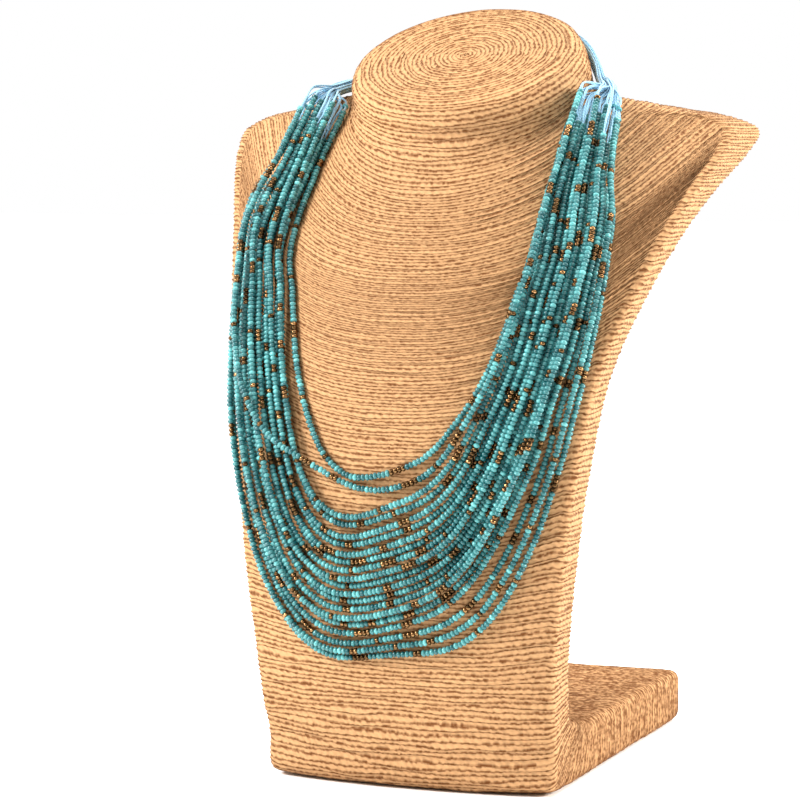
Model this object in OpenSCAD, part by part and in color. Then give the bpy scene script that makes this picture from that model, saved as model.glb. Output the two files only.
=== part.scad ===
// Multi strand necklace of seed beads on a neck bust wrapped in paper cord.
// Millimetres. Z is up and the front faces -Y.
// The origin is the middle of the foot's underside.

/* [Bust] */
// Height from the table to the back rim of the neck disc
bust_h = 340; // [280:5:400]
// Width over the shoulders
shoulder_w = 236; // [200:2:270]
// Width of the standing panel at the foot
foot_w = 133; // [115:1:150]
// Depth of the foot, front to back
foot_d = 190; // [160:2:220]
// Thickness of the foot
foot_t = 23.5; // [18:0.5:29]
// Thickness of the standing panel
panel_t = 24; // [18:0.5:30]
// Diameter of the neck
neck_d = 108; // [95:1:120]
// Slope of the neck disc, low at the front, in degrees
disc_tilt = 28; // [20:1:34]
// Rounding of the panel's long edges
edge_r = 4; // [2:0.5:6]

/* [Strands] */
// Diameter of the seed beads
bead_d = 2.9; // [2.2:0.1:3.4]
// Clear space kept between two strands
strand_gap = 0.5; // [0.3:0.1:1]
// Clear space between the lowest strands and the wrapped surface
lay_gap = 0.9; // [0.8:0.1:1.6]
// How far the strands hang below the level where the bundles part
strand_drop = 204; // [180:2:220]

/* [Thread bundles and clasp] */
// Width of a thread bundle where the bead strands end
bundle_w = 23; // [20:1:27]
// Thickness of a thread bundle where the bead strands end
bundle_t = 14; // [10:0.5:15]
// Width of a thread bundle at the clasp
tail_w = 8.5; // [6:0.5:10]
// Thickness of a thread bundle at the clasp
tail_t = 5; // [4:0.5:6]
// Length of the clasp behind the neck
clasp_l = 22; // [16:1:28]
// Diameter of the clasp
clasp_d = 8; // [6:0.5:10]
// Clear space between the ends of two pieces that follow each other
end_gap = 0.3; // [0.3:0.1:0.8]

/* [Hidden] */
strand_count = 20;

cord_colour = "burlywood";
bead_colour = "mediumturquoise";
thread_colour = "lightblue";
clasp_colour = "darkgoldenrod";

half_d = foot_d / 2;
foot_x = foot_w / 2;
shoulder_x = shoulder_w / 2;
neck_r = neck_d / 2;
bead_r = bead_d / 2;

// ---- Bust sections ----
// The bust is a closed skin through loops that follow the rows of wrapped cord.
// A loop has a front point, a side point and a back point, and bows up to the shoulders.

// Neck disc: radius and depth below the disc, both as shares of the neck radius
disc_rows = [
    [0.01, 0], [0.28, 0], [0.56, 0.004], [0.78, 0.006], [0.926, 0.037], [0.98, 0.13], [1, 0.26]];
disc_rim = disc_rows[4];
disc_y = -0.285 * half_d;
disc_z = bust_h - neck_r * (disc_rim[0] * sin(disc_tilt) - disc_rim[1] * cos(disc_tilt));

// Neck to shoulder, down the chest, and down the panel to the heel of the fold.
// front y, front z, side x, side y, side z, back y, back z, panel share, foot share, slab share
// y is a share of half the foot depth, z of the bust height (back z: of the height over the foot).
// side x runs from 0 at the neck to 1 at the shoulder.
neck_rows = [
    [-0.745, 0.794, 0.045, -0.20, 0.885, 0.285, 0.915, 1.00, 0, 0.10],
    [-0.810, 0.765, 0.170, -0.16, 0.881, 0.210, 0.870, 1.00, 0, 0.30],
    [-0.875, 0.735, 0.375, -0.07, 0.874, 0.055, 0.823, 1.10, 0, 0.55],
    [-0.935, 0.706, 0.610, 0.03, 0.865, -0.160, 0.769, 1.30, 0, 0.80],
    [-0.995, 0.679, 0.830, 0.13, 0.856, -0.370, 0.719, 1.65, 0, 0.95],
    [-1.040, 0.653, 1.000, 0.18, 0.838, -0.545, 0.678, 2.10, 0, 1.00]];
// the same columns, with side x from 0 at the foot to 1 at the shoulder
panel_rows = [
    [-1.075, 0.632, 0.990, 0.04, 0.809, -0.685, 0.643, 1.90, 0, 1],
    [-1.110, 0.606, 0.880, -0.18, 0.768, -0.800, 0.602, 1.50, 0, 1],
    [-1.147, 0.576, 0.735, -0.40, 0.715, -0.885, 0.558, 1.20, 0, 1],
    [-1.195, 0.529, 0.560, -0.66, 0.635, -0.945, 0.500, 0.95, 0, 1],
    [-1.242, 0.456, 0.355, -0.885, 0.529, -0.990, 0.415, 0.95, 0, 1],
    [-1.258, 0.359, 0.225, -0.985, 0.403, -1.010, 0.318, 1.00, 0, 1],
    [-1.253, 0.265, 0.140, -1.020, 0.288, -1.000, 0.216, 1.00, 0, 1],
    [-1.216, 0.176, 0.070, -1.000, 0.188, -0.947, 0.128, 1.00, 0, 1],
    [-1.168, 0.106, 0.030, -0.953, 0.112, -0.842, 0.071, 1.04, 0.17, 1],
    [-1.121, 0.044, 0.010, -0.895, 0.068, -0.747, 0.040, 1.00, 0.51, 1]];
// Fold and foot, with z as a share of the foot thickness and the side's inset from the foot width
// front y, front z, side inset, side y, side z, back y, back z, panel share, foot share
foot_rows = [
    [-1.074, 0.06, 0, -0.832, 0.62, -0.653, 1.23, 1.42, 1.02],
    [-0.863, 0, 0, -0.716, 0.55, -0.568, 1.10, 0.83, 1.06],
    [-0.632, 0, 0, -0.558, 0.51, -0.484, 1.02, 0.42, 1.02],
    [-0.400, 0, 0, -0.379, 0.50, -0.379, 1.00, 0.08, 1.00],
    [0.263, 0, 0, 0.263, 0.50, 0.263, 1.00, 0, 1.00],
    [0.937, 0, 0, 0.937, 0.50, 0.937, 1.00, 0, 1.00],
    [0.984, 0.06, 0.02, 0.984, 0.50, 0.984, 0.94, 0, 0.87],
    [1.000, 0.21, 0.075, 1.000, 0.50, 1.000, 0.79, 0, 0.57]];

// Each row in millimetres: front y, z, side x, side y, z, back y, z, thickness y, z, slab share
rows = concat(
    [for (r = disc_rows) disc_row(r[0] * neck_r, r[1] * neck_r)],
    [for (r = neck_rows) body_row(r, neck_r)],
    [for (r = panel_rows) body_row(r, foot_x)],
    [for (r = foot_rows) foot_row(r)]);
row_count = len(rows);

// Stations around half a loop: 0 front middle, 1 side, 2 back middle
half_ts = [0, 0.16, 0.32, 0.48, 0.64, 0.8, 0.87, 0.94, 1, 1.06, 1.13, 1.2, 1.36, 1.52, 1.68, 1.84, 2];
flat_end = 0.8;
edge_end = 0.94;
bow = 2.5;
grid = [for (r = rows) [for (t = half_ts) section(r, t)]];

function lerp(a, b, u) = a + (b - a) * u;

function disc_row(r, d) =
    let (cy = disc_y + d * sin(disc_tilt))
    let (cz = disc_z - d * cos(disc_tilt))
    let (ry = r * cos(disc_tilt))
    let (rz = r * sin(disc_tilt))
    [cy - ry, cz - rz, r, cy, cz, cy + ry, cz + rz, 0, 0, 0];

function body_row(r, inner_x) = [
    r[0] * half_d, r[1] * bust_h,
    lerp(inner_x, shoulder_x, r[2]), r[3] * half_d, r[4] * bust_h,
    r[5] * half_d, lerp(foot_t, bust_h, r[6]),
    r[7] * panel_t / 2, r[8] * foot_t / 2, r[9]];

function foot_row(r) = [
    r[0] * half_d, r[1] * foot_t,
    foot_x * (1 - r[2]), r[3] * half_d, r[4] * foot_t,
    r[5] * half_d, r[6] * foot_t,
    r[7] * panel_t / 2, r[8] * foot_t / 2, 1];

// Point of a loop at station t, on the +X half
function section(r, t) =
    let (back = t > 1)
    let (q = back ? 2 - t : t)
    let (mid = back ? [r[5], r[6]] : [r[0], r[1]])
    let (side = [r[3], r[4]])
    let (half = [r[7], r[8]] * (back ? 1 : -1))
    let (round_p = round_point(r[2], mid, side, q))
    r[9] == 0 ? round_p : lerp(round_p, slab_point(r[2], mid, side + half, half, q), r[9]);

// Quarter of an ellipse, for the neck
function round_point(x, mid, side, q) =
    let (a = q < flat_end ? q * 75 / flat_end : 75 + (q - flat_end) / (1 - flat_end) * 15)
    let (yz = side + (mid - side) * cos(a))
    [x * sin(a), yz[0], yz[1]];

// Bowed face, rounded edge and straight side, for the panel and the foot
function slab_point(x, mid, corner, half, q) =
    let (thick = norm(half))
    let (down = -half / thick)
    let (turn = (q - flat_end) / (edge_end - flat_end) * 90)
    let (rest = (q - edge_end) / (1 - edge_end))
    let (yz = q < flat_end ? mid + (corner - mid) * pow(q / flat_end, bow)
        : q < edge_end ? corner + down * edge_r * (1 - cos(turn))
        : corner + down * lerp(edge_r, thick, rest))
    let (px = q < flat_end ? (x - edge_r) * q / flat_end
        : q < edge_end ? x - edge_r + edge_r * sin(turn)
        : x)
    [px, yz[0], yz[1]];

// ---- Places on the bust ----
// A place is a height, measured up the middle of the front, and a station -2 to 2.
height_rows = [for (i = [row_count - 9 : -1 : 3]) [rows[i][1], i]];
last_half = len(half_ts) - 1;
station_index = [for (j = [0:last_half]) [half_ts[j], j]];

function cell(i, j) = grid[min(max(i, 0), row_count - 1)][min(max(j, 0), last_half)];

function on_grid(s, t) =
    let (w = t > 2 ? t - 4 : t < -2 ? t + 4 : t)
    let (i = floor(s))
    let (x = lookup(abs(w), station_index))
    let (j = floor(x))
    let (a = lerp(cell(i, j), cell(i, j + 1), x - j))
    let (b = lerp(cell(i + 1, j), cell(i + 1, j + 1), x - j))
    let (p = lerp(a, b, s - i))
    [w < 0 ? -p[0] : p[0], p[1], p[2]];

function row_at(h) = lookup(h, height_rows);
function place(p) = on_grid(row_at(p[0] * bust_h), p[1]);

// Direction straight out of the bust at a place
row_step = 0.5;
turn_step = 0.08;
function outward(p) =
    let (s = row_at(p[0] * bust_h))
    let (across = on_grid(s, p[1] + turn_step) - on_grid(s, p[1] - turn_step))
    let (down = on_grid(s + row_step, p[1]) - on_grid(s - row_step, p[1]))
    unit(cross(down, across));

function unit(v) = v / norm(v);

// ---- Strand routes ----
// The bundles part at this share of the bust height. Below it each strand is a loop in polar form.
// Its reach is a share of the half width to the side, and of the strand drop downwards.
// The strands are listed from the lowest layer to the top one:
// bottom, left low, left high, right low, right high, place in left bundle, place in right bundle
part_level = 0.632;
strand_routes = [
    [0.370, 0.473, 0.457, 0.395, 0.408, 0.000, 0.000],
    [0.500, 0.650, 0.565, 0.534, 0.515, 0.235, 0.235],
    [0.592, 0.745, 0.665, 0.631, 0.617, 0.500, 0.500],
    [0.677, 0.840, 0.768, 0.726, 0.716, 0.770, 0.770],
    [0.750, 0.940, 0.895, 0.880, 0.850, 1.000, 1.000],
    [0.458, 0.600, 0.522, 0.486, 0.470, 0.120, 0.120],
    [0.539, 0.690, 0.607, 0.575, 0.557, 0.345, 0.345],
    [0.626, 0.781, 0.703, 0.668, 0.655, 0.610, 0.610],
    [0.716, 0.900, 0.842, 0.800, 0.780, 0.885, 0.885],
    [0.441, 0.578, 0.500, 0.462, 0.446, 0.060, 0.060],
    [0.522, 0.670, 0.586, 0.555, 0.536, 0.290, 0.290],
    [0.609, 0.763, 0.684, 0.650, 0.636, 0.555, 0.555],
    [0.696, 0.862, 0.790, 0.748, 0.740, 0.830, 0.830],
    [0.483, 0.628, 0.544, 0.512, 0.494, 0.180, 0.180],
    [0.556, 0.709, 0.627, 0.595, 0.577, 0.400, 0.400],
    [0.643, 0.800, 0.724, 0.686, 0.674, 0.665, 0.665],
    [0.733, 0.920, 0.868, 0.840, 0.815, 0.940, 0.940],
    [0.575, 0.727, 0.646, 0.613, 0.597, 0.450, 0.450],
    [0.660, 0.820, 0.746, 0.704, 0.693, 0.715, 0.715],
    [0.405, 0.515, 0.740, 0.433, 0.430, 0.520, 0.030]];

// Where the bundles run from the parting level to the side of the neck.
// height and station of the inner edge, of the middle and of the outer edge, at each step
right_guide = [
    [0.632, 0.330, 0.632, 0.440, 0.632, 0.530],
    [0.674, 0.372, 0.664, 0.462, 0.652, 0.540],
    [0.712, 0.445, 0.694, 0.520, 0.676, 0.573],
    [0.742, 0.530, 0.722, 0.590, 0.702, 0.630],
    [0.765, 0.625, 0.743, 0.665, 0.722, 0.685],
    [0.788, 0.715, 0.758, 0.735, 0.735, 0.740],
    [0.803, 0.800, 0.768, 0.820, 0.744, 0.820]];
left_guide = [
    [0.632, 0.385, 0.632, 0.485, 0.632, 0.575],
    [0.682, 0.450, 0.670, 0.515, 0.659, 0.575],
    [0.717, 0.525, 0.701, 0.565, 0.685, 0.598],
    [0.743, 0.590, 0.725, 0.620, 0.708, 0.638],
    [0.765, 0.660, 0.743, 0.678, 0.723, 0.688],
    [0.786, 0.730, 0.757, 0.742, 0.735, 0.745],
    [0.802, 0.800, 0.767, 0.810, 0.744, 0.810]];

guide_steps = len(right_guide) - 1;
loop_steps = 13;
end_step = loop_steps + guide_steps;
steps = [-end_step : end_step];
node_turns = [-90, -70, -45, 0, 45, 70, 90];
bunch = 3.6;

function guide_of(side) = side > 0 ? right_guide : left_guide;

// Place in a bundle at one step of its guide: slot 0 is the inner edge and 1 the outer edge
function in_bundle(side, slot, k) =
    let (g = guide_of(side)[k])
    let (wi = (1 - slot) * (1 - 2 * slot))
    let (wm = 4 * slot * (1 - slot))
    let (wo = slot * (2 * slot - 1))
    [g[0] * wi + g[2] * wm + g[4] * wo, side * (g[1] * wi + g[3] * wm + g[5] * wo)];

// Smooth reach of the loop at an angle from its lowest point
function reach_slope(ys, j) =
    j == 0 ? (ys[1] - ys[0]) / (node_turns[1] - node_turns[0])
    : j == 6 ? (ys[6] - ys[5]) / (node_turns[6] - node_turns[5])
    : (ys[j + 1] - ys[j - 1]) / (node_turns[j + 1] - node_turns[j - 1]);

function reach_at(ys, a) =
    let (j = max([for (m = [0:5]) if (node_turns[m] <= a || m == 0) m]))
    let (w = node_turns[j + 1] - node_turns[j])
    let (u = (a - node_turns[j]) / w)
    (2 * u * u * u - 3 * u * u + 1) * ys[j]
    + (u * u * u - 2 * u * u + u) * w * reach_slope(ys, j)
    + (3 * u * u - 2 * u * u * u) * ys[j + 1]
    + (u * u * u - u * u) * w * reach_slope(ys, j + 1);

function route_place(r, ys, k) =
    let (v = k / loop_steps)
    let (a = 90 * v + bunch * sin(360 * v))
    let (reach = reach_at(ys, a))
    abs(k) <= loop_steps
        ? [part_level - reach * strand_drop / bust_h * cos(a), reach * sin(a)]
        : in_bundle(sign(k), k > 0 ? r[6] : r[5], abs(k) - loop_steps);

function smooth(v) = [
    for (i = [0 : len(v) - 1])
    i == 0 || i == len(v) - 1 ? v[i] : (v[i - 1] + 2 * v[i] + v[i + 1]) / 4];

function route(i) =
    let (r = strand_routes[i])
    let (ys = [-in_bundle(-1, r[5], 0)[1], r[2], r[1], r[0], r[3], r[4], in_bundle(1, r[6], 0)[1]])
    smooth(smooth([for (k = steps) route_place(r, ys, k)]));

// Direction along a line of points
function along(v) =
    let (n = len(v) - 1)
    [for (i = [0:n]) unit(v[min(i + 1, n)] - v[max(i - 1, 0)])];

// Share of the bundle's own frame that a step takes: 0 on the loop, 1 at the neck
function bundling(k) =
    let (u = min(max((abs(k) - loop_steps) / 3, 0), 1))
    u * u * (3 - 2 * u);

function bundle_out(side) = outward(in_bundle(side, 0.5, guide_steps - 1));

// What a strand needs to be laid: points, directions it is lifted in, sideways directions, lowest heights
function lay(i) =
    let (places = route(i))
    let (n = len(places) - 1)
    let (base = [for (p = places) place(p)])
    let (own = [for (p = places) outward(p)])
    let (out = [for (k = [0:n]) unit(lerp(own[k], bundle_out(k < n / 2 ? -1 : 1), bundling(k - end_step)))])
    let (dir = along(base))
    let (side = [for (k = [0:n]) unit(cross(out[k], dir[k]))])
    let (bulge = [for (k = [0 : n - 1])
        let (m = (places[k] + places[k + 1]) / 2)
        max(0, (place(m) - (base[k] + base[k + 1]) / 2) * outward(m))])
    let (low = [for (k = [0:n])
        (bead_r + lay_gap + max(bulge[max(k - 1, 0)], bulge[min(k, n - 1)])) / (own[k] * out[k])])
    [base, out, side, low];

// Height that keeps a strand clear of one that lies under it, over one step
strand_pitch = bead_d + strand_gap;
function clear_rise(a, b, k) =
    let (x0 = (a[0][k] - b[0][k]) * b[2][k])
    let (x1 = (a[0][k + 1] - b[0][k + 1]) * b[2][k + 1])
    let (x = x0 * x1 < 0 ? 0 : min(abs(x0), abs(x1)))
    x < strand_pitch ? sqrt(strand_pitch * strand_pitch - x * x) : 0;

function over(a, b, heights) =
    let (n = len(heights) - 1)
    let (rise = [for (k = [0 : n - 1]) clear_rise(a, b, k)])
    [for (k = [0:n])
        let (up = max(rise[max(k - 1, 0)], rise[min(k, n - 1)]))
        let (level = (b[0][k] - a[0][k]) * b[1][k])
        up > 0 ? heights[k] + up + level : 0];

function fill(v) = [
    for (i = [0 : len(v) - 1])
    i == 0 || i == len(v) - 1 ? v[i] : max(v[i], (v[i - 1] + v[i + 1]) / 2)];

// Heights of every strand up to number n, each laid over those before it
function heap(lays, n) = [
    for (i = 0, done = []; i <= n; done = concat(done, [laid(lays, done, i)]), i = i + 1)
    if (i == n) laid(lays, done, i)][0];

function laid(lays, done, i) =
    let (under = [for (j = [0 : 1 : i - 1]) over(lays[i], lays[j], done[j])])
    fill(fill([for (k = [0 : len(lays[i][3]) - 1])
        max(concat([lays[i][3][k]], [for (u = under) u[k]]))]));

function centre_line(lay_n, heights) =
    [for (k = [0 : len(heights) - 1]) lay_n[0][k] + lay_n[1][k] * heights[k]];

// ---- Sweeping ----
// Slides a point along a direction onto the plane through a point
function slide(p, dir, at, normal) = p + dir * (((at - p) * normal) / (dir * normal));

// Plane where the strands of a side end and its thread bundle starts
function end_at(side) = place(in_bundle(side, 0.5, guide_steps));
function end_normal(side) =
    unit(end_at(side) - place(in_bundle(side, 0.5, guide_steps - 1)));

// Closed skin through rings of points. From point number turned on, the quads are split the other way.
module skin(rings, turned = 1000) {
    m = len(rings[0]);
    last = len(rings) - 1;
    quads = [for (i = [0 : last - 1]) for (j = [0 : m - 1])
        let (k = (j + 1) % m)
        let (q = [i * m + j, (i + 1) * m + j, (i + 1) * m + k, i * m + k])
        j < turned ? [[q[0], q[1], q[3]], [q[3], q[1], q[2]]] : [[q[0], q[1], q[2]], [q[0], q[2], q[3]]]];
    faces = concat(
        [for (q = quads) each q],
        [[for (j = [0 : m - 1]) j]],
        [[for (j = [m - 1 : -1 : 0]) last * m + j]]);
    polyhedron([for (r = rings) each r], faces, convexity = 6);
}

// Ring of points around a centre, in the plane of two directions
function ring(c, u, v, ru, rv, sides) =
    [for (j = [0 : sides - 1]) let (a = 360 * (j + 0.5) / sides) c + u * ru * cos(a) + v * rv * sin(a)];

// ---- Pieces ----
module bust() {
    loops = [for (g = grid) concat(g, [for (j = [last_half - 1 : -1 : 1]) [-g[j][0], g[j][1], g[j][2]]])];
    color(cord_colour) skin([for (i = [row_count - 1 : -1 : 0]) loops[i]], last_half);
}

module strand(i) {
    lays = [for (j = [0:i]) lay(j)];
    heights = heap(lays, i);
    line = centre_line(lays[i], heights);
    dir = along(line);
    n = len(line) - 1;
    rings = [for (k = [0:n])
        let (v = unit(lays[i][1][k] - dir[k] * (lays[i][1][k] * dir[k])))
        let (u = cross(v, dir[k]))
        let (side = k == 0 ? -1 : 1)
        let (pts = ring(line[k], u, v, bead_r, bead_r, 8))
        k > 0 && k < n ? pts : [for (p = pts) slide(p, dir[k], end_at(side), end_normal(side))]];
    color(bead_colour) skin(rings);
}

// Route of a thread bundle behind the neck: height, station, narrowing from 0 to 1
tail_route = [
    [0.765, 0.93, 0.35],
    [0.778, 1.06, 0.55],
    [0.796, 1.19, 0.70],
    [0.813, 1.30, 0.80],
    [0.824, 1.42, 0.90],
    [0.827, 1.55, 0.95],
    [0.826, 1.68, 1.00]];
clasp_level = 0.824;
clasp_place = [clasp_level, 2];
clasp_at = place(clasp_place) + outward(clasp_place) * (clasp_d / 2 + lay_gap);

module thread_bundle(side) {
    n0 = end_normal(side);
    start_lift = bundle_t / 2 + lay_gap;
    start_place = in_bundle(side, 0.5, guide_steps);
    start = slide(place(start_place) + outward(start_place) * start_lift, n0, end_at(side), n0);
    widths = concat([0], [for (p = tail_route) p[2]], [1]);
    mids = [for (p = tail_route)
        let (q = [p[0], side * p[1]])
        place(q) + outward(q) * (lerp(bundle_t, tail_t, p[2]) / 2 + lay_gap)];
    finish = clasp_at + [side * (clasp_l / 2 + end_gap), 0, 0];
    line = concat([start], mids, [finish]);
    outs = concat(
        [outward(start_place)],
        [for (p = tail_route) outward([p[0], side * p[1]])],
        [outward(clasp_place)]);
    n = len(line) - 1;
    dir = concat([n0], [for (k = [1 : n - 1]) unit(line[k + 1] - line[k - 1])], [[-side, 0, 0]]);
    rings = [for (k = [0:n])
        let (v = unit(outs[k] - dir[k] * (outs[k] * dir[k])))
        let (u = cross(v, dir[k]))
        let (w = lerp(bundle_w, tail_w, widths[k]) / 2)
        let (t = lerp(bundle_t, tail_t, widths[k]) / 2)
        ring(k == 0 ? line[0] + n0 * end_gap : line[k], u, v, w, t, 12)];
    color(thread_colour) skin(rings);
}

module clasp() {
    bevel = clasp_d / 8;
    color(clasp_colour)
    translate(clasp_at)
    rotate([0, 90, 0])
    rotate_extrude($fn = 32)
    polygon([
        [0, -clasp_l / 2], [clasp_d / 2 - bevel, -clasp_l / 2], [clasp_d / 2, -clasp_l / 2 + bevel],
        [clasp_d / 2, clasp_l / 2 - bevel], [clasp_d / 2 - bevel, clasp_l / 2], [0, clasp_l / 2]]);
}

function strand_name(i) = str("strand_", i < 10 ? "0" : "", i);

bust();
thread_bundle(-1);  // thread_bundle_left
thread_bundle(1);  // thread_bundle_right
clasp();
for (i = [1:strand_count])
    strand(i - 1);
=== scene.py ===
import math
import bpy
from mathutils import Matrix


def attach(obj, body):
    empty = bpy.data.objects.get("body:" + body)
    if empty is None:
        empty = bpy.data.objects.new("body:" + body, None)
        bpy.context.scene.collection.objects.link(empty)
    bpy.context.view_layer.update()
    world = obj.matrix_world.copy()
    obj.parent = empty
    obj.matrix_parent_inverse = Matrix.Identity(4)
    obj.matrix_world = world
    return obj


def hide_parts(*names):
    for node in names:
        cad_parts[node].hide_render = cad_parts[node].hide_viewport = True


bl_info = {
    "name": "Bead necklace on a neck bust",
    "version": (1, 0, 0),
    "blender": (4, 5, 0),
    "location": "View3D > Sidebar > Necklace",
    "description": "Dresses a neck bust in wound paper cord and strings its necklace of seed beads",
    "category": "Object",
}

import bmesh
import bpy
import numpy as np
from bpy.props import FloatProperty, FloatVectorProperty, IntProperty, PointerProperty
from mathutils import Vector

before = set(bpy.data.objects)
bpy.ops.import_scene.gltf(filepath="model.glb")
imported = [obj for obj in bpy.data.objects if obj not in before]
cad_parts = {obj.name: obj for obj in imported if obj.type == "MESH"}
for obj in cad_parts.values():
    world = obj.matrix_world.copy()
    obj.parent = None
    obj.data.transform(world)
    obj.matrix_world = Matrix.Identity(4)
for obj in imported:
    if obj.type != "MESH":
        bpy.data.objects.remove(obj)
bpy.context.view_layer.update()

BODY = "root"
BUST_SIDES = 32
STRAND_SIDES = 8
BUNDLE_SIDES = 12
STRANDS = sorted(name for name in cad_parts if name.startswith("strand_"))
SIDES = {"left": -1, "right": 1}


# ---------------------------------------------------------------- settings


def length(name, text, default):
    """Property for a size in metres."""
    return FloatProperty(
        name=name, description=text, default=default, min=0.0, precision=5, unit="LENGTH"
    )


def paint(name, text, default):
    """Property for a colour."""
    return FloatVectorProperty(
        name=name, description=text, default=default, subtype="COLOR", size=3, min=0.0, max=1.0
    )


def turn(name, text, degrees):
    """Property for an angle, given in degrees."""
    return FloatProperty(name=name, description=text, default=math.radians(degrees), subtype="ANGLE")


class CordSettings(bpy.types.PropertyGroup):
    pitch: length("Cord pitch", "Distance between two rows of the paper cord", 0.0020)
    relief: length("Cord relief", "Depth of the grooves between the rows", 0.00050)
    waver: FloatProperty(
        name="Waver", description="How far a row wanders, as a share of the pitch", default=0.34
    )
    ply: length("Ply length", "Length of one turn of the cord's two plies", 0.0034)
    light: paint("Cord", "Colour of the paper cord", (0.53, 0.300, 0.140))
    # painted shade: the dark colour laid into the grooves between the rows, where shade falls
    groove_shade_colour: paint("Cord groove", "Colour between the rows", (0.12, 0.034, 0.005))


class BeadSettings(bpy.types.PropertyGroup):
    diameter: length("Bead diameter", "Diameter of a seed bead", 0.0029)
    pitch: length("Bead pitch", "Length that one bead takes on its strand", 0.0019)
    bare: length("Bare thread", "Longest stretch of thread without beads at a strand's end", 0.024)
    turquoise: paint("Turquoise glass", "Colour of the glass beads", (0.002, 0.075, 0.084))
    pale: paint("Pale glass", "Colour of the palest glass beads", (0.14, 0.50, 0.50))
    bronze: paint("Bronze", "Colour of the bronze beads", (0.17, 0.095, 0.04))
    seed: IntProperty(name="Seed", description="Order of the bronze beads", default=11)


class ThreadSettings(bpy.types.PropertyGroup):
    diameter: length("Thread diameter", "Diameter of one thread", 0.0007)
    per_strand: IntProperty(
        name="Threads", description="Threads that run on from each strand", default=3, min=1
    )
    twist: FloatProperty(
        name="Twist", description="Turn of a bundle on its way to the clasp", default=2.4, subtype="ANGLE"
    )
    colour: paint("Thread", "Colour of the threads", (0.30, 0.57, 0.76))
    binding: paint("Binding", "Colour of the wound bindings", (0.08, 0.42, 0.48))


class StageSettings(bpy.types.PropertyGroup):
    azimuth: turn("Azimuth", "Camera angle round the bust", 20)
    elevation: turn("Elevation", "Camera angle over the table", 5.5)
    distance: length("Distance", "Distance from the camera to the bust", 1.4)
    lens: FloatProperty(name="Focal length", description="Lens of the camera", default=136.35, unit="CAMERA")
    floor: paint("Floor", "Colour of the table top", (0.97, 0.97, 0.97))


# ---------------------------------------------------------------- shapes read from the frame


def level_sets(start):
    """Number of each point's loop, counted along the edges from a first loop."""
    level = {point: 0 for point in start}
    ring = set(start)
    while ring:
        ring = {edge.other_vert(point) for point in ring for edge in point.link_edges} - level.keys()
        for point in ring:
            near = [edge.other_vert(point) for edge in point.link_edges]
            level[point] = 1 + min(level[other] for other in near if other in level)
    return level


def flat_end(shape, sides, towards):
    """Points of the flat end with this many sides that lies furthest in one direction."""
    seen, ends = set(), []
    for face in shape.faces:
        if face in seen:
            continue
        patch, reached = {face}, [face]
        while reached:
            for edge in reached.pop().edges:
                for other in edge.link_faces:
                    if other not in patch and other.normal.dot(face.normal) > 0.999999:
                        patch.add(other)
                        reached.append(other)
        seen |= patch
        points = {point for face in patch for point in face.verts}
        if len(patch) == sides - 2 and len(points) == sides:
            ends.append(points)
    return max(ends, key=lambda end: sum(point.co.dot(towards) for point in end) / sides)


def loops_of(node, sides, towards):
    """Loops of points round a CAD node, from its end in one direction to the other end."""
    shape = bmesh.new()
    shape.from_mesh(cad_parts[node].data)
    bmesh.ops.remove_doubles(shape, verts=shape.verts, dist=1e-6)
    shape.normal_update()
    level = level_sets(flat_end(shape, sides, Vector(towards)))
    loops = [[] for _ in range(max(level.values()) + 1)]
    for point, number in level.items():
        loops[number].append(point)
    places = [walk(loop, level) if sides == BUST_SIDES else [p.co[:] for p in loop] for loop in loops]
    shape.free()
    return np.array(places)


def walk(loop, level):
    """Points of one bust loop, in order from the middle of its front towards +X."""

    def along(edge):
        thirds = {level[point] for face in edge.link_faces for point in face.verts if point not in edge.verts}
        return len(thirds) > 1

    near = {}
    for p in loop:
        beside_it = [e.other_vert(p) for e in p.link_edges if along(e)]
        near[p] = [other for other in beside_it if level[other] == level[p]]
    middle = [p for p in loop if abs(p.co.x) < 1e-5]
    line = [min(middle, key=lambda p: p.co.y + p.co.z)]
    line.append(max(near[line[0]], key=lambda p: p.co.x))
    while len(line) < len(loop):
        line.append(next(p for p in near[line[-1]] if p is not line[-2]))
    return [p.co[:] for p in line]


# ---------------------------------------------------------------- smooth lines


def spread(values, like):
    """A row of numbers, shaped to multiply rows of points."""
    return values.reshape(values.shape + (1,) * (like.ndim - 1))


def through(points, knots, places):
    """Smooth line through points that stand at knots, read at other places."""
    step = np.diff(knots)
    slope = np.empty_like(points)
    slope[1:-1] = (points[2:] - points[:-2]) / spread(knots[2:] - knots[:-2], points)
    slope[0] = (points[1] - points[0]) / step[0]
    slope[-1] = (points[-1] - points[-2]) / step[-1]
    i = np.clip(np.searchsorted(knots, places, "right") - 1, 0, len(knots) - 2)
    w = spread(step[i], points)
    u = spread((places - knots[i]) / step[i], points)
    return (
        (2 * u**3 - 3 * u**2 + 1) * points[i]
        + (u**3 - 2 * u**2 + u) * w * slope[i]
        + (3 * u**2 - 2 * u**3) * points[i + 1]
        + (u**3 - u**2) * w * slope[i + 1]
    )


def lengths(points):
    """Distance along a line up to each of its points."""
    return np.concatenate([[0], np.cumsum(np.linalg.norm(np.diff(points, axis=0), axis=1))])


def even_line(points, step):
    """Smooth line through points, read at even steps. Gives the points and their directions."""
    knots = lengths(points)
    fine = through(points, knots, np.linspace(0, knots[-1], 40 * len(points)))
    run = lengths(fine)
    count = max(int(round(run[-1] / step)), 2)
    at = np.linspace(0, run[-1], count + 1)
    line = np.stack([np.interp(at, run, fine[:, c]) for c in range(3)], axis=1)
    way = np.gradient(line, axis=0)
    return line, way / np.linalg.norm(way, axis=1)[:, None]


def frames_along(way, up):
    """Two directions across a line at each of its points, that turn with it as little as they can."""
    across = []
    for w in way:
        up = up - w * np.dot(up, w)
        up = up / np.linalg.norm(up)
        across.append(up)
    across = np.array(across)
    return across, np.cross(way, across)


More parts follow.
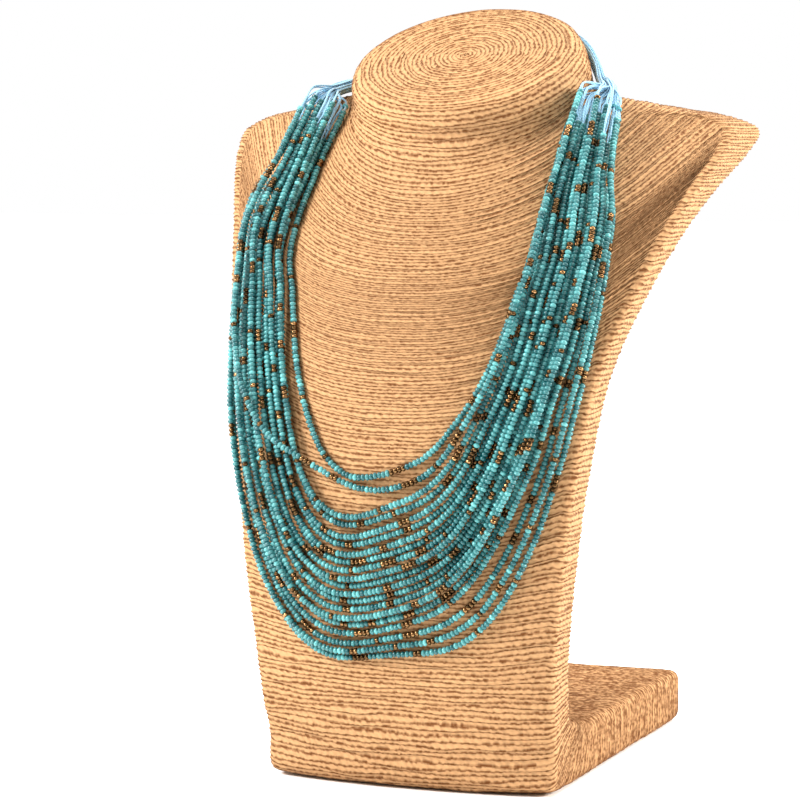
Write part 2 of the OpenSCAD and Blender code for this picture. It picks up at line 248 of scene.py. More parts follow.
def rotated(points, angle, centre=0):
    """Points of a plane turned by an angle."""
    c, s = math.cos(angle), math.sin(angle)
    return (points - centre) @ np.array([[c, s], [-s, c]]) + centre


# ---------------------------------------------------------------- meshes and materials


def new_piece(name, points, faces, materials, smooth=True):
    """Mesh object at the origin, with its place in its mesh."""
    mesh = bpy.data.meshes.new(name)
    mesh.from_pydata(np.asarray(points).tolist(), [], faces)
    mesh.polygons.foreach_set("use_smooth", [smooth] * len(mesh.polygons))
    for material in materials:
        mesh.materials.append(material)
    piece = bpy.data.objects.new(name, mesh)
    bpy.context.scene.collection.objects.link(piece)
    return piece


def tubes(lines, radius, sides):
    """Points and faces of closed tubes along lines of points."""
    points, faces, base = [], [], 0
    turn = 2 * math.pi * np.arange(sides) / sides
    for line in lines:
        way = np.gradient(line, axis=0)
        way = way / np.linalg.norm(way, axis=1)[:, None]
        a, b = frames_along(way, np.array([0.1, 0.2, 1.0]))
        ring = radius * (np.cos(turn)[None, :, None] * a[:, None] + np.sin(turn)[None, :, None] * b[:, None])
        points.append((line[:, None] + ring).reshape(-1, 3))
        for i in range(len(line) - 1):
            for j in range(sides):
                k = (j + 1) % sides
                p, q = base + i * sides, base + (i + 1) * sides
                faces.append((p + j, p + k, q + k, q + j))
        last = base + (len(line) - 1) * sides
        faces.append(tuple(range(base + sides - 1, base - 1, -1)))
        faces.append(tuple(range(last, last + sides)))
        base += len(line) * sides
    return np.concatenate(points), faces


class Nodes:
    """Small helper that adds and joins shader nodes."""

    def __init__(self, tree):
        self.tree = tree

    def add(self, kind, **values):
        node = self.tree.nodes.new(kind)
        for key, value in values.items():
            if key in node.inputs:
                self.join(value, node.inputs[key])
            else:
                setattr(node, key, value)
        return node

    def join(self, value, socket):
        if isinstance(value, bpy.types.NodeSocket):
            self.tree.links.new(value, socket)
        else:
            socket.default_value = value

    def math(self, operation, *values):
        node = self.add("ShaderNodeMath", operation=operation)
        for value, socket in zip(values, node.inputs):
            self.join(value, socket)
        return node.outputs[0]

    def times(self, value, by):
        return self.math("MULTIPLY", value, by)

    def line(self, start, value, by):
        """Start plus a share of a value."""
        return self.math("ADD", start, self.times(value, by))

    def over(self, value, start):
        """How far a value lies over a start, and nothing below it."""
        return self.math("MAXIMUM", self.math("SUBTRACT", value, start), 0.0)

    def within(self, value):
        """A value kept between nought and one."""
        return self.math("MINIMUM", self.math("MAXIMUM", value, 0.0), 1.0)

    def place(self):
        return self.add("ShaderNodeTexCoord").outputs["Object"]

    def combine(self, x, y, z=0.0):
        return self.add("ShaderNodeCombineXYZ", X=x, Y=y, Z=z).outputs[0]

    def noise(self, vector, scale, detail=2.0):
        return self.add("ShaderNodeTexNoise", Vector=vector, Scale=scale, Detail=detail).outputs["Fac"]

    def mix(self, factor, a, b):
        node = self.add("ShaderNodeMix", data_type="RGBA")
        for value, socket in ((factor, node.inputs[0]), (a, node.inputs[6]), (b, node.inputs[7])):
            plain = isinstance(value, (bpy.types.NodeSocket, float, int))
            self.join(value if plain else (*value, 1.0), socket)
        return node.outputs[2]


class Finish(Nodes):
    """A new material and its shader."""

    def __init__(self, name):
        self.material = bpy.data.materials.new(name)
        self.material.use_nodes = True
        super().__init__(self.material.node_tree)
        self.shader = self.tree.nodes["Principled BSDF"]

    def set(self, **values):
        for key, value in values.items():
            self.join(value, self.shader.inputs[key.replace("_", " ")])

    def bump(self, height, distance, strength=1.0):
        node = self.add("ShaderNodeBump", Height=height, Distance=distance, Strength=strength)
        self.join(node.outputs[0], self.shader.inputs["Normal"])


def shade(colour, by):
    """A colour made lighter or darker."""
    return tuple(min(1.0, c * by) for c in colour)


# cells of noise on a metre of cord
WANDER_CELLS, DASH_CELLS, FIBRE_CELLS = 160.0, 420.0, 900.0
# how far the groove wanders and how far a ply slants, as shares of a row
WANDER, PLY_SLANT = 0.22, 0.8
# where a dash starts in its noise, and how fast it comes up
DASH_START, DASH_RISE = 0.34, 3.6
# a groove's width and the darkness of the shade painted in it: the least, and what a dash adds
GROOVE_WIDTH, GROOVE_SHADE_DEPTH = (0.12, 0.14), (0.34, 0.60)


def paper_cord(cord):
    """Twisted paper cord, read along the rows: U is metres along the cord and V counts its rows. Shade is
    painted into the grooves between the rows and into the twist of the plies.
    """
    n = Finish("paper_cord")
    uv = n.add("ShaderNodeSeparateXYZ", Vector=n.add("ShaderNodeUVMap", uv_map="cord").outputs[0])
    along, rows = uv.outputs[0], uv.outputs[1]
    turns = n.math("SUBTRACT", n.math("DIVIDE", along, cord.ply), n.times(n.math("FRACT", rows), PLY_SLANT))
    wander = n.noise(n.combine(n.times(along, WANDER_CELLS), n.times(rows, 0.5)), 1.0)
    rows = n.line(rows, n.math("SUBTRACT", wander, 0.5), WANDER)
    phase = n.math("FRACT", rows)
    edge = n.math("SUBTRACT", 0.5, n.math("ABSOLUTE", n.math("SUBTRACT", phase, 0.5)))
    ridge = n.math("SINE", n.times(phase, math.pi))
    dash = n.noise(n.combine(n.times(along, DASH_CELLS), n.times(n.math("ROUND", rows), 3.7)), 1.0, 1.0)
    dash = n.within(n.times(n.math("SUBTRACT", dash, DASH_START), DASH_RISE))
    fibre = n.noise(n.combine(n.times(along, FIBRE_CELLS), n.times(rows, 6.0)), 1.0)
    # painted shade of the twist: slanting bands where the cord is painted darker between its plies, stronger
    # where a dash comes up
    ply = n.line(0.5, n.math("SINE", n.times(turns, 2 * math.pi)), 0.5)
    ply = n.times(ply, n.line(0.4, dash, 0.6))
    # painted shade: a dark band down each groove between the rows, wider and darker where a dash comes up
    width = n.line(GROOVE_WIDTH[0], dash, GROOVE_WIDTH[1])
    face = n.within(n.math("DIVIDE", n.math("SUBTRACT", edge, n.times(width, 0.5)), width))
    shade_depth = n.line(GROOVE_SHADE_DEPTH[0], dash, GROOVE_SHADE_DEPTH[1])
    painted_groove_shade = n.times(n.math("SUBTRACT", 1.0, face), shade_depth)
    body = n.mix(n.noise(n.place(), 18.0), shade(cord.light, 0.92), shade(cord.light, 1.08))
    # painted shade: the cord colour darkened along the slanting ply bands
    body = n.mix(n.times(ply, 0.55), body, shade(cord.light, 0.55))
    body = n.mix(n.times(fibre, 0.35), body, shade(cord.light, 1.30))
    n.set(Base_Color=n.mix(painted_groove_shade, body, cord.groove_shade_colour), Roughness=0.66, Specular_IOR_Level=0.12)
    height = n.math("SUBTRACT", n.times(ridge, 0.6), painted_groove_shade)
    height = n.math("ADD", height, n.math("ADD", n.times(fibre, 0.25), n.times(ply, -0.4)))
    n.bump(height, 0.0004, 0.8)
    return n.material


def bead_glass(beads):
    """Opaque glass, with each bead a little lighter or darker than the next."""
    n = Finish("bead_glass")
    tone = n.add("ShaderNodeAttribute", attribute_name="tone").outputs["Fac"]
    streak = n.noise(n.place(), 900.0, 1.0)
    tint = n.math("ADD", n.times(tone, 0.85), n.times(streak, 0.15))
    tint = n.math("POWER", tint, 1.6)
    n.set(Base_Color=n.mix(tint, beads.turquoise, beads.pale), Roughness=0.2)
    n.set(Specular_IOR_Level=0.4, Coat_Weight=0.35, Coat_Roughness=0.06)
    n.bump(streak, 0.00006, 0.4)
    return n.material


def bead_bronze(beads):
    """Dark bronze beads, with bright gold spots painted on as glints of light."""
    n = Finish("bead_bronze")
    tone = n.add("ShaderNodeAttribute", attribute_name="tone").outputs["Fac"]
    # painted highlights: bright gold spots in this noise stand in for glints of light on the dark bronze
    painted_glint = n.noise(n.place(), 800.0)
    tint = n.math("POWER", n.math("ADD", n.times(tone, 0.45), n.times(painted_glint, 0.75)), 3.0)
    n.set(Base_Color=n.mix(tint, shade(beads.bronze, 0.22), shade(beads.bronze, 3.6)))
    n.set(Metallic=1.0, Roughness=0.2)
    n.bump(painted_glint, 0.00008, 0.5)
    return n.material


def spun_thread(name, colour, twist=0.0016):
    """Fuzzy twisted thread, with slanting bands as far apart as its twist."""
    n = Finish(name)
    place = n.place()
    fuzz = n.noise(place, 1500.0, 3.0)
    bands = n.add("ShaderNodeTexWave", Vector=place, Scale=1 / twist / 2, Distortion=2.0, Detail=1.0)
    bands.bands_direction = "DIAGONAL"
    ply = bands.outputs["Fac"]
    tint = n.math("ADD", n.times(ply, 0.6), n.times(fuzz, 0.4))
    n.set(Base_Color=n.mix(tint, shade(colour, 0.62), shade(colour, 1.15)))
    n.set(Roughness=0.6, Sheen_Weight=0.35, Specular_IOR_Level=0.3)
    n.bump(n.math("ADD", ply, fuzz), 0.00012, 0.7)
    return n.material


def clasp_metal(beads):
    """Brushed bronze of the clasp."""
    n = Finish("clasp_bronze")
    place = n.place()
    across = n.add("ShaderNodeMapping", Vector=place, Scale=(1500.0, 120.0, 120.0)).outputs[0]
    brushed = n.noise(across, 1.0, 3.0)
    worn = n.noise(place, 260.0, 3.0)
    n.set(Base_Color=n.mix(worn, shade(beads.bronze, 1.1), shade(beads.bronze, 2.2)), Metallic=1.0)
    n.set(Roughness=n.line(0.24, brushed, 0.2))
    n.bump(brushed, 0.00005, 0.4)
    return n.material


# ---------------------------------------------------------------- bust


# steps across one row of cord, and their heights as shares of the relief
ROW_CUTS = 4
GROOVE = np.array([-1.0, -0.18, 0.06, -0.18])
# steps on each of the bust's sides: fewer on the sides that turn round its two edges
FACE_CUTS, EDGE_CUTS = 3, 2
EDGE_CELLS = range(4, 12)
# turns on the disc that hardly waver, and by how much less
STEADY_TURNS, STEADY = 6, 0.2
ROW_HEIGHTS = 0.18


def beside(field, way):
    """Field of the wound grid moved by one column. Over the seam it moves by a whole turn."""
    moved = np.roll(field, way, 1)
    if way > 0:
        moved[:, 0] = np.roll(field[:, -1], ROW_CUTS)
    else:
        moved[:, -1] = np.roll(field[:, 0], -ROW_CUTS)
    return moved


def soft_noise(dice, shape, times):
    """Random numbers evened out over the wound grid."""
    field = dice.normal(size=shape)
    for _ in range(times):
        field = (beside(field, 1) + 2 * field + beside(field, -1)) / 4
        field[1:-1] = (field[:-2] + 2 * field[1:-1] + field[2:]) / 4
    return field / field.std()


def bust_columns():
    """Rows of the bust from the neck disc to the end of the foot, each cut into short steps."""
    rows = loops_of("bust", BUST_SIDES, (0, 1, 0))[::-1]
    fine = []
    for row in rows:
        closed = np.concatenate([row[-2:], row, row[:3]])
        knots = lengths(closed)
        at = []
        for cell in range(BUST_SIDES):
            cuts = EDGE_CUTS if cell % (BUST_SIDES // 2) in EDGE_CELLS else FACE_CUTS
            here, there = knots[cell + 2], knots[cell + 3]
            at += [here + (there - here) * c / cuts for c in range(cuts)]
        fine.append(through(closed, knots, np.array(at)))
    return np.array(fine)


def wound_surface(cord):
    """Grid of points of the wound cord. One row runs on into the next."""
    columns = bust_columns()
    around = columns.shape[1]
    apart = np.linalg.norm(np.diff(columns, axis=0), axis=2).mean(1)
    knots = np.concatenate([[0], np.cumsum(apart)]) / cord.pitch
    turns = int(knots[-1])
    steps = np.arange(turns * ROW_CUTS + 1) / ROW_CUTS
    dice = np.random.default_rng(5)
    waver = soft_noise(dice, (len(steps), around), 3) * cord.waver
    waver[: STEADY_TURNS * ROW_CUTS] *= STEADY
    height = soft_noise(dice, (len(steps), around), 3) * ROW_HEIGHTS
    grid = np.empty((len(steps), around, 3))
    for j in range(around):
        at = np.clip(steps + j / around + waver[:, j] * 0.5, 0, knots[-1])
        at = np.maximum.accumulate(at)
        spot = through(columns[:, j], knots, at)
        ahead, behind = (
            through(columns[:, j], knots, np.clip(at + d, 0, knots[-1])) for d in (0.4, -0.4)
        )
        sideways = through(columns[:, (j + 1) % around] - columns[:, j - 1], knots, at)
        out = np.cross(sideways, ahead - behind)
        out /= np.maximum(np.linalg.norm(out, axis=1), 1e-12)[:, None]
        lift = cord.relief * (GROOVE[np.arange(len(steps)) % ROW_CUTS] + height[:, j])
        grid[:, j] = spot + out * lift[:, None]
    return grid


def wrap_faces(rows, around):
    """Quads of the wound grid. The last column meets the first one a whole turn further down."""
    faces = []
    for k in range(rows - 1):
        for j in range(around):
            if j < around - 1:
                a, b = (k, j), (k, j + 1)
                c, d = (k + 1, j + 1), (k + 1, j)
            elif k + 1 + ROW_CUTS < rows:
                a, b = (k, j), (k + ROW_CUTS, 0)
                c, d = (k + 1 + ROW_CUTS, 0), (k + 1, j)
            else:
                continue
            faces.append(tuple(p * around + q for p, q in (d, c, b, a)))
    return faces


def close_ends(grid, faces):
    """Closes the start of the winding on the disc and its end on the foot."""
    rows, around = grid.shape[:2]
    start = [k * around for k in range(ROW_CUTS, -1, -1)] + list(range(1, around))
    last = rows - 1
    end = [last * around + j for j in range(around)]
    end += [(last - k) * around + around - 1 for k in range(1, ROW_CUTS + 1)]
    return faces + [tuple(start), tuple(reversed(end))]


def cord_places(grid, corner, size, pitch):
    """Each face corner's place on the cord: metres along it from its start, and the row that it lies in.

    The two closed ends come last, and get straight rows.
    """
    rows, around = grid.shape[:2]
    ridge = grid[ROW_CUTS // 2 :: ROW_CUTS]
    ring = np.concatenate([ridge, np.concatenate([ridge[1:, :1], ridge[-1:, :1]])], axis=1)
    steps = np.linalg.norm(np.diff(ring, axis=1), axis=2)
    run = np.concatenate([np.zeros((len(ring), 1)), np.cumsum(steps, axis=1)], axis=1)
    run += np.concatenate([[0], np.cumsum(run[:-1, -1])])[:, None]
    owner = np.repeat(np.arange(len(size)), size)
    row, column = corner // around, corner % around
    low, high = np.full(len(size), around), np.zeros(len(size), int)
    np.minimum.at(low, owner, column)
    np.maximum.at(high, owner, column)
    seam = (high - low > around // 2)[owner] & (column == 0)
    row = row - ROW_CUTS * seam
    column = np.where(seam, around, column)
    first = np.full(len(size), rows)
    np.minimum.at(first, owner, row)
    turn = np.clip(first[owner] // ROW_CUTS, 0, len(run) - 1)
    places = np.stack([run[turn, column], row / ROW_CUTS], axis=1)
    ends = corner[-size[-2:].sum() :]
    flat = grid.reshape(-1, 3)[ends]
    places[-len(ends) :] = np.stack([flat[:, 0], (flat[:, 1] + flat[:, 2]) / pitch], axis=1)
    return places


class NECKLACE_OT_wind_bust(bpy.types.Operator):
    """Winds paper cord over the bust, from the middle of the neck disc to the end of the foot"""

    bl_idname = "necklace.wind_bust"
    bl_label = "Wind the bust"

    def execute(self, context):
        cord = context.scene.necklace_cord
        grid = wound_surface(cord)
        rows, around = grid.shape[:2]
        faces = close_ends(grid, wrap_faces(rows, around))
        piece = new_piece("wound_cord", grid.reshape(-1, 3), faces, [paper_cord(cord)])
        mesh = piece.data
        layer = mesh.uv_layers.new(name="cord")
        corner = np.empty(len(mesh.loops), int)
        mesh.loops.foreach_get("vertex_index", corner)
        size = np.empty(len(mesh.polygons), int)
        mesh.polygons.foreach_get("loop_total", size)
        layer.data.foreach_set("uv", cord_places(grid, corner, size, cord.pitch).ravel())
        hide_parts("bust")
        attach(piece, BODY)
        return {"FINISHED"}


# ---------------------------------------------------------------- beads


BEAD_SIDES = 10
# a bead's tone: the middle, its spread and its slow wave along the strand
TONE, TONE_SPREAD, TONE_WAVE = 0.45, 0.22, 0.12
# how unlike the beads are: girth, lean and shift as shares, and the most that one shifts in metres
GIRTH_SPREAD, LEAN_SPREAD, SHIFT_SPREAD = 0.035, 0.05, 0.025
MOST_SHIFT = 0.00018
# girth limits, and how much slimmer the glass beads are
GIRTHS, GLASS_GIRTH = (0.9, 1.07), 0.985


def bead_shape(beads):
    """One seed bead as points and faces, its thread along Z: a short cylinder with rounded ends."""
    bpy.ops.object.select_all(action="DESELECT")
    bpy.ops.mesh.primitive_cylinder_add(
        vertices=BEAD_SIDES, radius=beads.diameter / 2, depth=beads.pitch * 0.98, end_fill_type="NGON"
    )
    bead = bpy.context.object
    bpy.ops.object.mode_set(mode="EDIT")
    bpy.ops.mesh.select_mode(type="EDGE")
    bpy.ops.mesh.select_all(action="DESELECT")
    shape = bmesh.from_edit_mesh(bead.data)
    for edge in shape.edges:
        edge.select_set(abs(edge.verts[0].co.z - edge.verts[1].co.z) < 1e-6)
    bmesh.update_edit_mesh(bead.data)
    bpy.ops.mesh.bevel(offset=beads.pitch * 0.30, segments=1)
    bpy.ops.object.mode_set(mode="OBJECT")
    points = np.array([p.co[:] for p in bead.data.vertices])
    faces = [tuple(face.vertices) for face in bead.data.polygons]
    mesh = bead.data
    bpy.data.objects.remove(bead)
    bpy.data.meshes.remove(mesh)
    return points, faces


def bead_kinds(count, dice):
    """Which beads of a strand are bronze: short runs between longer runs of glass."""
    kinds = []
    while len(kinds) < count:
        kinds += [0] * int(dice.integers(5, 22)) + [1] * int(dice.choice([1, 1, 2, 2, 3, 4]))
    return np.array(kinds[:count])


def string_strand(node, beads, threads, shape, materials, dice):
    """Beads in a row along one strand, on the thread that they share."""
    middles = loops_of(node, STRAND_SIDES, (-1, 0, 0)).mean(1)
    line, way = even_line(middles, beads.pitch)
    a, b = frames_along(way, np.array([0.0, -0.3, 1.0]))
    first = 1 + int(dice.uniform(0.1, 1.0) * beads.bare / beads.pitch)
    last = len(line) - 1 - int(dice.uniform(0.1, 1.0) * beads.bare / beads.pitch)
    picked = np.arange(first, last)
    count = len(picked)
    kinds = bead_kinds(count, dice)
    wave = TONE_WAVE * np.sin(np.arange(count) / 9.0)
    tone = np.clip(dice.normal(TONE, TONE_SPREAD, count) + wave, 0, 1)
    girth = dice.normal(1.0, GIRTH_SPREAD, count).clip(*GIRTHS) * np.where(kinds == 1, 1.0, GLASS_GIRTH)
    lean = dice.normal(0.0, LEAN_SPREAD, (count, 2))
    shift = dice.normal(0.0, beads.diameter * SHIFT_SPREAD, (count, 2)).clip(-MOST_SHIFT, MOST_SHIFT)
    spin = dice.uniform(0, 2 * math.pi, count)
    points, faces = shape
    axis = way[picked] + a[picked] * lean[:, :1] + b[picked] * lean[:, 1:]
    axis /= np.linalg.norm(axis, axis=1)[:, None]
    u = a[picked] - axis * (a[picked] * axis).sum(1)[:, None]
    u /= np.linalg.norm(u, axis=1)[:, None]
    v = np.cross(axis, u)
    cos, sin = np.cos(spin)[:, None], np.sin(spin)[:, None]
    u, v = u * cos + v * sin, v * cos - u * sin
    middle = line[picked] + a[picked] * shift[:, :1] + b[picked] * shift[:, 1:]
    placed = (
        middle[:, None]
        + u[:, None] * (points[None, :, :1] * girth[:, None, None])
        + v[:, None] * (points[None, :, 1:2] * girth[:, None, None])
        + axis[:, None] * points[None, :, 2:]
    ).reshape(-1, 3)
    all_faces = [tuple(p + n * len(points) for p in face) for n in range(count) for face in faces]
    core, core_faces = tubes([even_line(middles, 0.004)[0]], threads.diameter / 2, 5)
    all_faces += [tuple(p + len(placed) for p in face) for face in core_faces]
    piece = new_piece("beads_" + node, np.concatenate([placed, core]), all_faces, materials)
    slots = np.concatenate([np.repeat(kinds, len(faces)), np.full(len(core_faces), 2)])
    piece.data.polygons.foreach_set("material_index", slots.astype(np.int32))
    shades = piece.data.attributes.new("tone", "FLOAT", "FACE")
    tones = np.concatenate([np.repeat(tone, len(faces)), np.full(len(core_faces), 0.5)])
    shades.data.foreach_set("value", tones)
    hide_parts(node)
    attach(piece, BODY)


class NECKLACE_OT_string_beads(bpy.types.Operator):
    """Strings the seed beads of every strand"""

    bl_idname = "necklace.string_beads"
    bl_label = "String the beads"

    def execute(self, context):
        scene = context.scene
        beads, threads = scene.necklace_beads, scene.necklace_threads
        materials = [bead_glass(beads), bead_bronze(beads), spun_thread("strand_thread", threads.colour)]
        shape = bead_shape(beads)
        dice = np.random.default_rng(beads.seed)
        for node in STRANDS:
            string_strand(node, beads, threads, shape, materials, dice)
        return {"FINISHED"}


# ---------------------------------------------------------------- threads


def bundle_sections(side):
    """Middle, wide and thick half axes of a thread bundle's sections, from the strands to the clasp."""
    loops = loops_of("thread_bundle_" + side, BUNDLE_SIDES, (SIDES[side], 0, 0))
    middles = loops.mean(1)
    wide, thick = [], []
    for loop, middle in zip(loops, middles):
        values, ways = np.linalg.eigh((loop - middle).T @ (loop - middle) / len(loop))
        wide.append(ways[:, 2] * math.sqrt(2 * values[2]))
        thick.append(ways[:, 1] * math.sqrt(2 * values[1]))
    for axes in (wide, thick):
        for i in range(1, len(axes)):
            if np.dot(axes[i], axes[i - 1]) < 0:
                axes[i] = -axes[i]
    return middles, np.array(wide), np.array(thick)


# points of a strand's end that its threads follow
STRETCH = 3
# every so many strands has a knot
KNOT_EVERY = 4
# how near its outline a bundle's threads come, as a share of the half axes
INSIDE = 0.86
# how far the threads of one strand stray, at its end and then at each section
STRAY, DRIFT = 0.10, 0.03
# how tightly the threads gather, and how far they lean to the bust half way
GATHER, LEAN = 0.6, 0.26
# place of the binding, counted in sections from the strands
BINDING = 7.35


def strand_ends(side):
    """Last stretch of each strand's line on one side, from its end backwards."""
    ends = []
    for node in STRANDS:
        line = loops_of(node, STRAND_SIDES, (-1, 0, 0)).mean(1)
        starts_left = line[0, 0] < line[-1, 0]
        ends.append((line if starts_left == (side == "left") else line[::-1])[:STRETCH])
    return ends


def in_plane(vector, wide, thick):
    """A vector's shares along the two half axes of a section."""
    return np.array([vector @ wide / (wide @ wide), vector @ thick / (thick @ thick)])


def bundle_lines(side, threads, dice):
    """Lines of the threads of one side, from the strands' last beads into the clasp."""
    middles, wide, thick = bundle_sections(side)
    last = len(middles) - 1
    lines = []
    for stretch in strand_ends(side):
        flat = in_plane(stretch[0] - middles[0], wide[0], thick[0])
        flat *= INSIDE / max(1.0, np.linalg.norm(flat))
        for _ in range(threads.per_strand):
            spot = flat + dice.normal(0, STRAY, 2)
            line = list((stretch + dice.normal(0, threads.diameter * 0.4, stretch.shape))[::-1])
            for i in range(1, last + 1):
                turned = rotated(spot[None], threads.twist * SIDES[side] * i / last)[0]
                turned = turned + dice.normal(0, DRIFT, 2)
                inward = np.array([-middles[i][0], 0.0, -0.5 * abs(middles[i][0])])
                lean = np.array([inward @ axis[i] / np.linalg.norm(axis[i]) for axis in (wide, thick)])
                lean *= LEAN / max(np.linalg.norm(lean), 1e-6)
                turned = turned * GATHER + lean * math.sin(math.pi * i / last)
                turned *= min(1.0, INSIDE / max(np.linalg.norm(turned), 1e-6))
                line.append(middles[i] + wide[i] * turned[0] + thick[i] * turned[1])
            lines.append(even_line(np.array(line), 0.0022)[0])
    return lines


def coil_round(middle, wide, thick, way, turns, pitch, radius):
    """Line of a thread wound round a bundle."""
    angle = np.linspace(0, 2 * math.pi * turns, int(18 * turns))
    grow = 1 + radius / np.linalg.norm(thick)
    return (
        middle
        + wide * grow * np.cos(angle)[:, None]
        + thick * grow * np.sin(angle)[:, None]
        + way * ((angle - angle[-1] / 2) / (2 * math.pi) * pitch)[:, None]
    )


def binding_coil(side, threads):
    """Line of the thread wound round a bundle just before the clasp."""
    middles, wide, thick = bundle_sections(side)
    knots = np.arange(len(middles), dtype=float)
    at = np.array([BINDING])
    spot, w, t = (through(rows, knots, at)[0] for rows in (middles, wide, thick))
    way = through(middles, knots, at + 0.05)[0] - through(middles, knots, at - 0.05)[0]
    way /= np.linalg.norm(way)
    return coil_round(spot, w * 0.93, t * 0.93, way, 5, threads.diameter * 0.95, threads.diameter / 2)


def knot_coil(stretch, threads, dice):
    """Line of the small knot on a strand's end."""
    thick = threads.diameter
    way = stretch[1] - stretch[0]
    way /= np.linalg.norm(way)
    u, v = (axis[0] for axis in frames_along(way[None], np.array([0.1, 0.2, 1.0])))
    spot = stretch[0] + way * dice.uniform(0.001, 0.006)
    return coil_round(spot, u * thick, v * thick, way, 2.5, thick * 0.8, thick / 2)


class NECKLACE_OT_gather_threads(bpy.types.Operator):
    """Gathers the strands' threads on both sides and takes them behind the neck to the clasp"""

    bl_idname = "necklace.gather_threads"
    bl_label = "Gather the threads"

    def execute(self, context):
        threads = context.scene.necklace_threads
        thread = spun_thread("bundle_thread", threads.colour)
        binding = spun_thread("binding_thread", threads.binding)
        dice = np.random.default_rng(3)
        for side in SIDES:
            points, faces = tubes(bundle_lines(side, threads, dice), threads.diameter / 2, 6)
            piece = new_piece("threads_" + side, points, faces, [thread])
            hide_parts("thread_bundle_" + side)
            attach(piece, BODY)
            coils = [binding_coil(side, threads)]
            coils += [knot_coil(stretch, threads, dice) for stretch in strand_ends(side)[::KNOT_EVERY]]
            points, faces = tubes(coils, threads.diameter / 2, 6)
            wound = new_piece("binding_" + side, points, faces, [binding])
            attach(wound, BODY)
        return {"FINISHED"}


class NECKLACE_OT_finish_clasp(bpy.types.Operator):
    """Gives the clasp its metal"""

    bl_idname = "necklace.finish_clasp"
    bl_label = "Finish the clasp"

    def execute(self, context):
        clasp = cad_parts["clasp"]
        clasp.material_slots[0].material = clasp_metal(context.scene.necklace_beads)
        return {"FINISHED"}


# ---------------------------------------------------------------- stage


def way_back(azimuth, elevation):
    """Direction from the bust to what looks at it. Azimuth 0 is straight in front."""
    level = math.cos(elevation)
    return Vector((math.sin(azimuth) * level, -math.cos(azimuth) * level, math.sin(elevation)))


def add_lamp(name, azimuth, elevation, distance, size, power, colour):
    """Soft square lamp that looks at the bust."""
    back = way_back(math.radians(azimuth), math.radians(elevation))
    lamp = bpy.data.lights.new(name, "AREA")
    lamp.shape, lamp.size, lamp.energy, lamp.color = "SQUARE", size, power, colour
    holder = bpy.data.objects.new(name, lamp)
    holder.location = LAMP_AIM + back * distance
    holder.rotation_euler = (-back).to_track_quat("-Z", "Y").to_euler()
    bpy.context.scene.collection.objects.link(holder)


WHITE, WARM = (1.0, 1.0, 1.0), (1.0, 0.88, 0.74)
# name, azimuth and elevation in degrees, distance and width in metres, watts, colour
LAMPS = (
    ("key_lamp", -45, 30, 1.6, 0.45, 36, WHITE),
    ("side_lamp", 104, 22, 1.4, 0.35, 26, (1.0, 0.98, 0.95)),
    ("top_lamp", 120, 70, 1.6, 0.7, 16, WHITE),
)
# where the lamps and the camera look, and how far the camera looks past it to the left and up
LAMP_AIM, CAMERA_AIM = Vector((0, 0, 0.2)), Vector((0, 0, 0.15))
AIM_LEFT, AIM_UP = 0.0395, 0.0106
TABLE_TOP = -0.0008


def light_round(world):
    """White surroundings, dimmer and warmer to the front right of the bust and brighter overhead."""
    world.use_nodes = True
    n = Nodes(world.node_tree)
    way = n.add("ShaderNodeSeparateXYZ", Vector=n.add("ShaderNodeTexCoord").outputs["Generated"])
    x, y, z = way.outputs
    front = n.over(n.times(x, 0.7), n.times(y, 0.7))
    strength = n.math("SUBTRACT", 1.0, n.times(front, 0.97))
    strength = n.line(strength, n.over(z, 0.15), 0.75)
    background = n.tree.nodes["Background"]
    n.join(n.mix(front, WHITE, WARM), background.inputs["Color"])
    n.join(strength, background.inputs["Strength"])


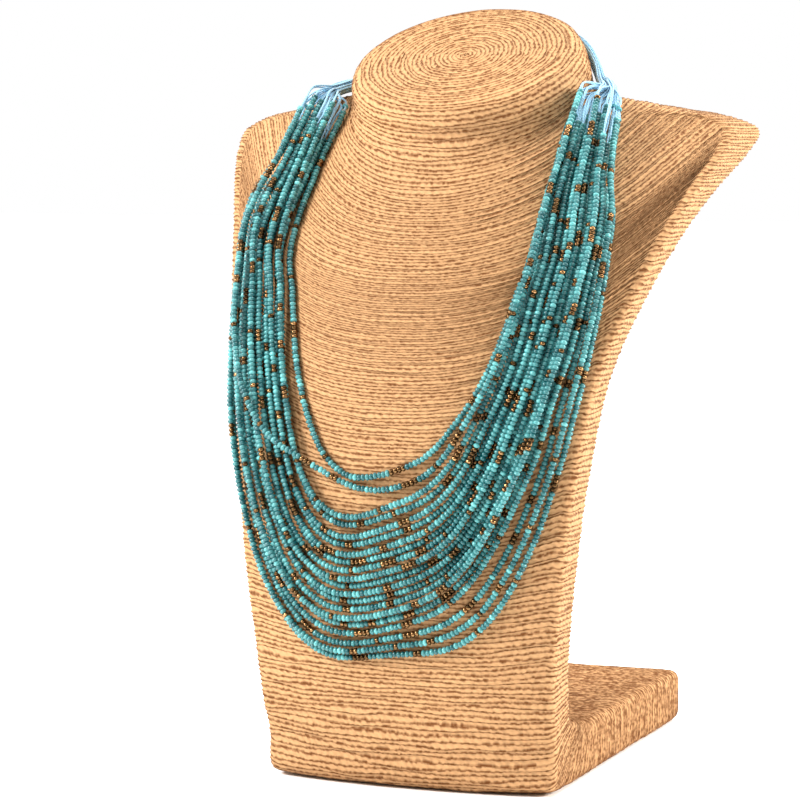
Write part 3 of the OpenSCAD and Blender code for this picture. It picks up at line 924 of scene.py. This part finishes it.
class NECKLACE_OT_set_stage(bpy.types.Operator):
    """Sets the pale table, the soft lamps and the camera"""

    bl_idname = "necklace.set_stage"
    bl_label = "Set the stage"

    def execute(self, context):
        scene = context.scene
        stage = scene.necklace_stage
        bpy.ops.object.select_all(action="DESELECT")
        bpy.ops.mesh.primitive_plane_add(size=12, location=(0, 2, TABLE_TOP))
        table = context.object
        table.name = "table_top"
        n = Finish("table_top")
        n.set(Base_Color=n.mix(n.noise(n.place(), 3.0, 1.0), shade(stage.floor, 0.995), stage.floor))
        n.set(Roughness=0.9, Specular_IOR_Level=0.1)
        table.data.materials.append(n.material)

        scene.world = bpy.data.worlds.new("studio")
        light_round(scene.world)
        scene.view_settings.view_transform = "Standard"
        for lamp in LAMPS:
            add_lamp(*lamp)

        camera = bpy.data.cameras.new("camera")
        camera.lens = stage.lens
        camera.sensor_width = 36
        camera.clip_start, camera.clip_end = 0.01, 50
        holder = bpy.data.objects.new("camera", camera)
        back = way_back(stage.azimuth, stage.elevation)
        holder.location = CAMERA_AIM + back * stage.distance
        right = Vector((math.cos(stage.azimuth), math.sin(stage.azimuth), 0))
        aimed = CAMERA_AIM - right * AIM_LEFT + back.cross(right) * AIM_UP
        holder.rotation_euler = (aimed - holder.location).to_track_quat("-Z", "Y").to_euler()
        scene.collection.objects.link(holder)
        scene.camera = holder
        return {"FINISHED"}


# ---------------------------------------------------------------- panel and registration


OPERATORS = (
    NECKLACE_OT_set_stage,
    NECKLACE_OT_wind_bust,
    NECKLACE_OT_string_beads,
    NECKLACE_OT_gather_threads,
    NECKLACE_OT_finish_clasp,
)
SETTINGS = {
    "necklace_cord": CordSettings,
    "necklace_beads": BeadSettings,
    "necklace_threads": ThreadSettings,
    "necklace_stage": StageSettings,
}


class NECKLACE_PT_panel(bpy.types.Panel):
    """Sizes and colours of the necklace and its bust"""

    bl_label = "Necklace"
    bl_idname = "NECKLACE_PT_panel"
    bl_space_type = "VIEW_3D"
    bl_region_type = "UI"
    bl_category = "Necklace"

    def draw(self, context):
        for name, group in SETTINGS.items():
            box = self.layout.box()
            for prop in group.__annotations__:
                box.prop(getattr(context.scene, name), prop)
        for operator in OPERATORS:
            self.layout.operator(operator.bl_idname)


def register():
    for group in SETTINGS.values():
        bpy.utils.register_class(group)
    for operator in OPERATORS:
        bpy.utils.register_class(operator)
    bpy.utils.register_class(NECKLACE_PT_panel)
    for name, group in SETTINGS.items():
        setattr(bpy.types.Scene, name, PointerProperty(type=group))


def unregister():
    for name in SETTINGS:
        delattr(bpy.types.Scene, name)
    bpy.utils.unregister_class(NECKLACE_PT_panel)
    for operator in reversed(OPERATORS):
        bpy.utils.unregister_class(operator)
    for group in reversed(list(SETTINGS.values())):
        bpy.utils.unregister_class(group)


def main():
    """Registers the classes and makes every piece."""
    register()
    bpy.ops.necklace.set_stage()
    bpy.ops.necklace.wind_bust()
    bpy.ops.necklace.string_beads()
    bpy.ops.necklace.gather_threads()
    bpy.ops.necklace.finish_clasp()


if __name__ == "__main__":
    main()
